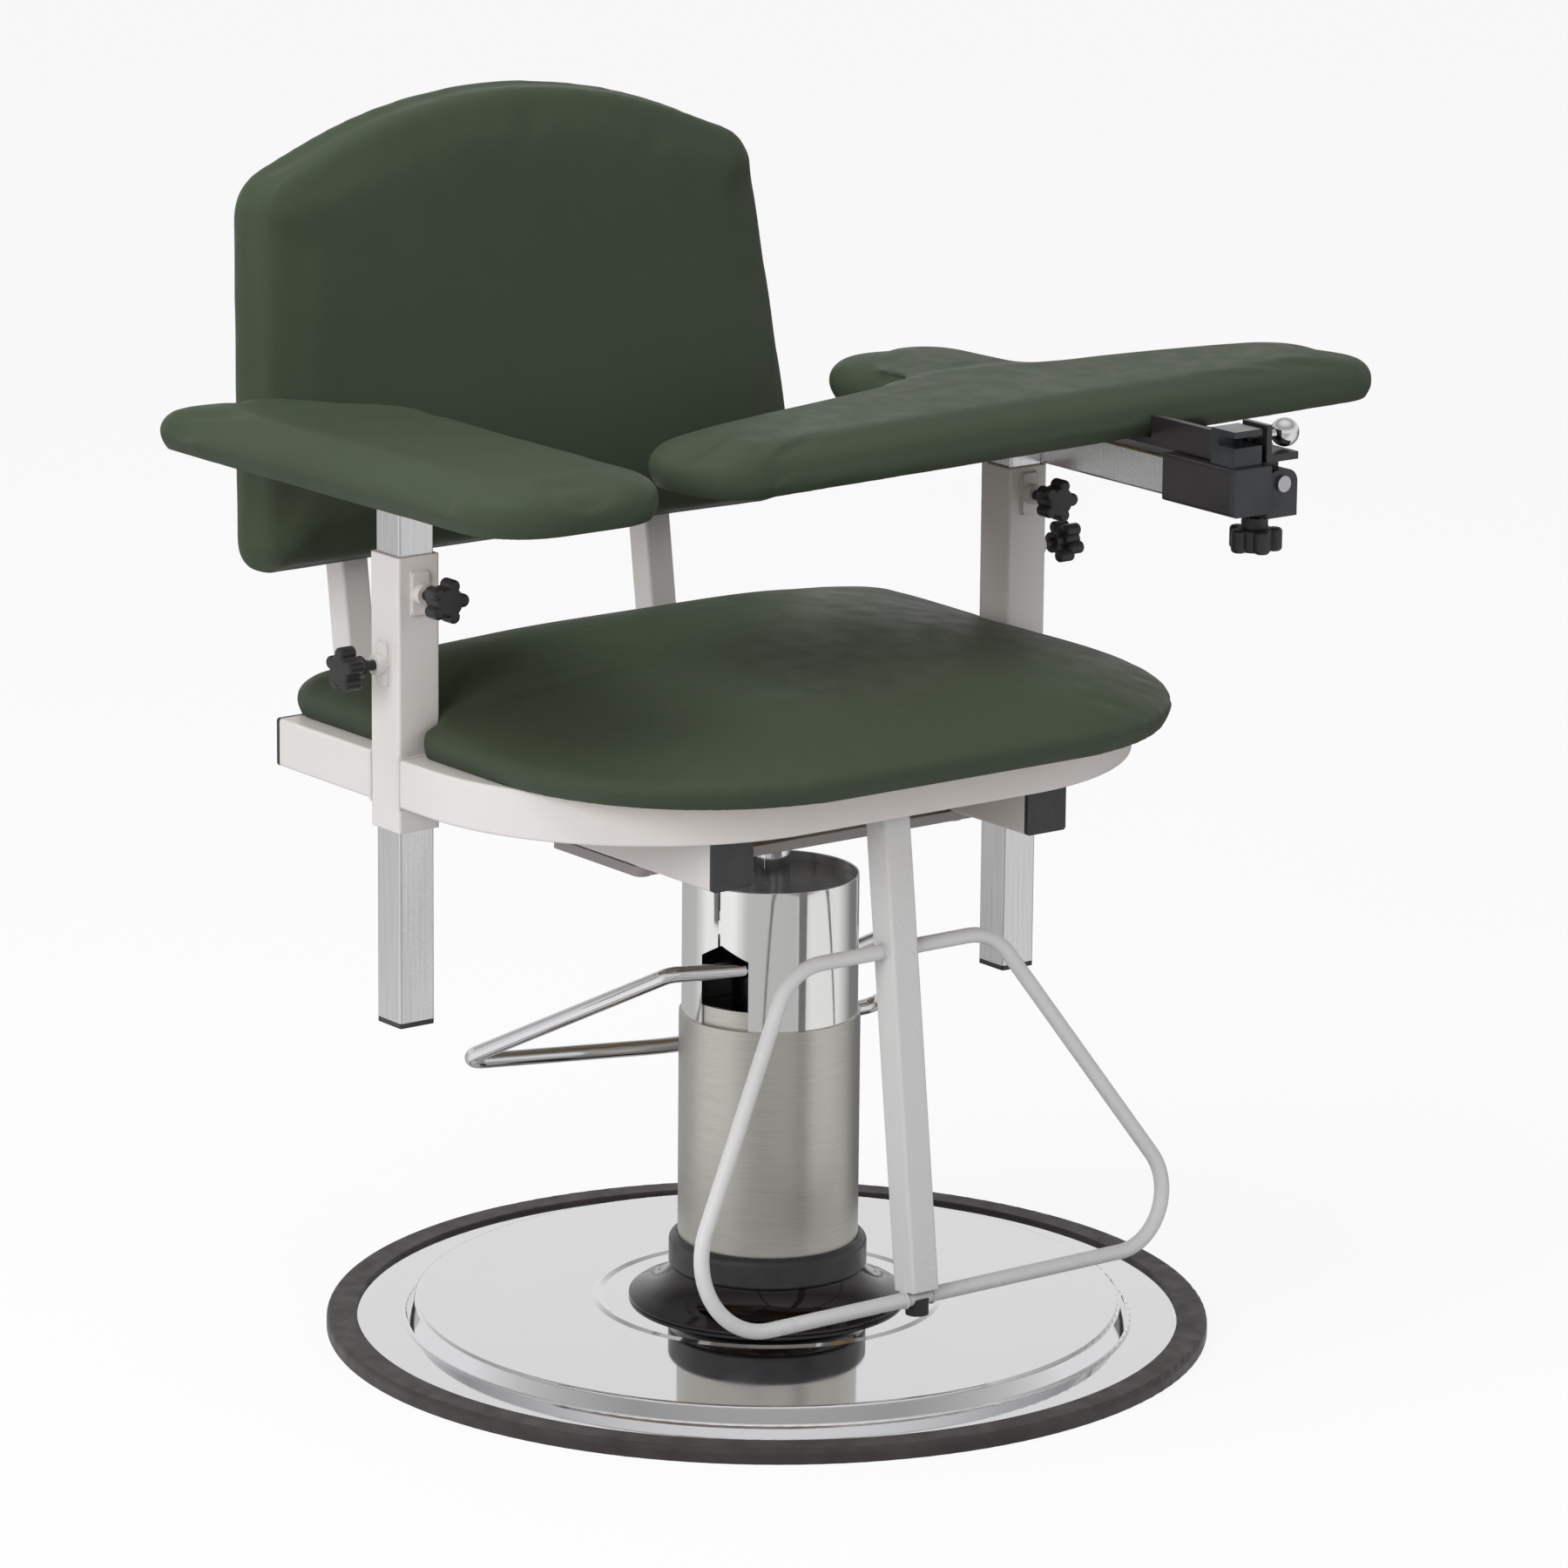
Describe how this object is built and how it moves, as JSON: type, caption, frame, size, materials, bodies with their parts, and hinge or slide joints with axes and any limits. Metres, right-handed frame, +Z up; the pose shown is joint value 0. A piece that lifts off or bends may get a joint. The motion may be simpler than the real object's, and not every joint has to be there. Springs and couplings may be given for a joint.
{
  "type": "phlebotomy chair",
  "caption": "Blood-draw chair: hydraulic pedestal on a round base, upholstered seat and back, height-set arms, a flip-up swing pad and a loop footrest.",
  "frame": {"origin": "on the floor, on the column's axis, at the base weight's flat underside", "axes": "+Z up, -Y the way the sitter faces, +X to the side of the flip-up arm pad"},
  "size_m": [0.9528, 0.7646, 0.944],
  "materials": {
    "cast_base": "cast, painted underneath",
    "ring_rubber": "matt moulded rubber",
    "base_chrome": "mirror chrome",
    "zinc": "zinc plated",
    "flange_chrome": "dark mirror chrome",
    "dark_plastic": "satin black",
    "brushed_column": "brushed round the column",
    "shroud_chrome": "mirror chrome",
    "pump_steel": "machined, oiled",
    "rod_chrome": "bright chrome",
    "washer_plastic": "acetal",
    "mount_paint": "black satin paint",
    "frame_paint": "warm light grey satin paint",
    "plywood": "birch plywood",
    "green_vinyl": "dark green vinyl cloth over foam",
    "footrest_paint": "white powder coat",
    "bumper_rubber": "matt rubber",
    "arm_aluminium": "satin aluminium",
    "black_paint": "black satin paint",
    "gloss_black": "glossy black",
    "ball_chrome": "polished",
    "knob_plastic": "black moulded plastic"
  },
  "bodies": {
    "base": {"base_weight": "cast_base", "base_ring": "ring_rubber", "base_plate": "base_chrome", "base_bolts": "zinc", "bell_flange": "flange_chrome", "column_collar": "dark_plastic", "pump_cylinder": "brushed_column", "pump_shroud": "shroud_chrome", "pump_barrel": "pump_steel", "pump_head": "pump_steel", "pump_block": "pump_steel"},
    "pedal": {"pump_shaft": "rod_chrome", "pedal_loop": "rod_chrome"},
    "plunger": {"pump_plunger": "rod_chrome"},
    "lift": {"piston_rod": "rod_chrome", "thrust_washer": "washer_plastic"},
    "seat": {"mount_plate": "mount_paint", "mount_bolts": "zinc", "left_beam": "frame_paint", "right_beam": "frame_paint", "tube_caps": "dark_plastic", "seat_frame": "frame_paint", "left_rear_rail": "frame_paint", "right_rear_rail": "frame_paint", "rear_cross_tube": "frame_paint", "left_post": "frame_paint", "right_post": "frame_paint", "knob_bosses": "frame_paint", "seat_board": "plywood", "seat_cushion": "green_vinyl", "left_upright": "frame_paint", "right_upright": "frame_paint", "back_board": "plywood", "back_cushion": "green_vinyl", "back_screws": "zinc", "footrest_post": "footrest_paint", "footrest_loop": "footrest_paint", "footrest_bumper": "bumper_rubber"},
    "left_arm": {"left_arm_tube": "arm_aluminium", "left_arm_cap": "dark_plastic", "left_arm_plate": "frame_paint", "left_pad_board": "plywood", "left_pad_cushion": "green_vinyl"},
    "right_arm": {"right_arm_tube": "arm_aluminium", "right_arm_caps": "dark_plastic", "right_arm_rail": "arm_aluminium"},
    "carriage": {"arm_sleeve": "black_paint", "sleeve_cap": "gloss_black", "hinge_brackets": "gloss_black", "hinge_pin": "zinc"},
    "flip_pad": {"hinge_leaf": "black_paint", "right_pad_board": "plywood", "right_pad_cushion": "green_vinyl"},
    "lock_plunger": {"plunger_pin": "rod_chrome", "ball_knob": "ball_chrome"},
    "left_front_knob": {"left_front_knob": "knob_plastic"},
    "left_side_knob": {"left_side_knob": "knob_plastic"},
    "right_front_knob": {"right_front_knob": "knob_plastic"},
    "right_side_knob": {"right_side_knob": "knob_plastic"},
    "sleeve_knob": {"sleeve_knob": "knob_plastic"}
  },
  "joints": [
    {"name": "pedal_press", "type": "hinge", "parent": "base", "child": "pedal", "pos_m": [0, -0.038, 0.306], "axis": [1, 0, 0], "range_deg": [-14, 0], "stiffness_Nm_per_rad": 12, "springref_deg": 28.65},
    {"name": "plunger_stroke", "type": "slide", "parent": "base", "child": "plunger", "axis": [0, 0, 1], "range_m": [-0.009, 0]},
    {"name": "seat_lift", "type": "slide", "parent": "base", "child": "lift", "axis": [0, 0, 1], "range_m": [0, 0.15]},
    {"name": "seat_swivel", "type": "hinge", "parent": "lift", "child": "seat", "pos_m": [0, 0, 0.42], "axis": [0, 0, 1], "range_deg": [-85, 85]},
    {"name": "left_arm_height", "type": "slide", "parent": "seat", "child": "left_arm", "axis": [0, 0, 1], "range_m": [-0.041, 0.084]},
    {"name": "right_arm_height", "type": "slide", "parent": "seat", "child": "right_arm", "axis": [0, 0, 1], "range_m": [0, 0.125]},
    {"name": "carriage_slide", "type": "slide", "parent": "right_arm", "child": "carriage", "axis": [0, 1, 0], "range_m": [-0.025, 0.026]},
    {"name": "pad_flip", "type": "hinge", "parent": "carriage", "child": "flip_pad", "pos_m": [0.36255, -0.139, 0.668], "axis": [0, 1, 0], "range_deg": [0, 95]},
    {"name": "plunger_drop", "type": "slide", "parent": "flip_pad", "child": "lock_plunger", "axis": [1, 0, 0], "range_m": [-0.01, 0]},
    {"name": "left_front_knob_turn", "type": "hinge", "parent": "seat", "child": "left_front_knob", "pos_m": [-0.2962, 0.03, 0.621], "axis": [0, -1, 0], "range_deg": [-360, 0]},
    {"name": "left_side_knob_turn", "type": "hinge", "parent": "seat", "child": "left_side_knob", "pos_m": [-0.34, 0.0727, 0.565], "axis": [-1, 0, 0], "range_deg": [-360, 0]},
    {"name": "right_front_knob_turn", "type": "hinge", "parent": "seat", "child": "right_front_knob", "pos_m": [0.2962, 0.03, 0.628], "axis": [0, -1, 0], "range_deg": [-360, 0]},
    {"name": "right_side_knob_turn", "type": "hinge", "parent": "seat", "child": "right_side_knob", "pos_m": [0.34, 0.0727, 0.579], "axis": [1, 0, 0], "range_deg": [-360, 0]},
    {"name": "sleeve_knob_turn", "type": "hinge", "parent": "carriage", "child": "sleeve_knob", "pos_m": [0.35405, -0.158, 0.63], "axis": [0, 0, -1], "range_deg": [-360, 0]}
  ],
  "couplings": [
    {"joint": "plunger_stroke", "follows": "pedal_press", "m_per_rad": 0.0325}
  ]
}
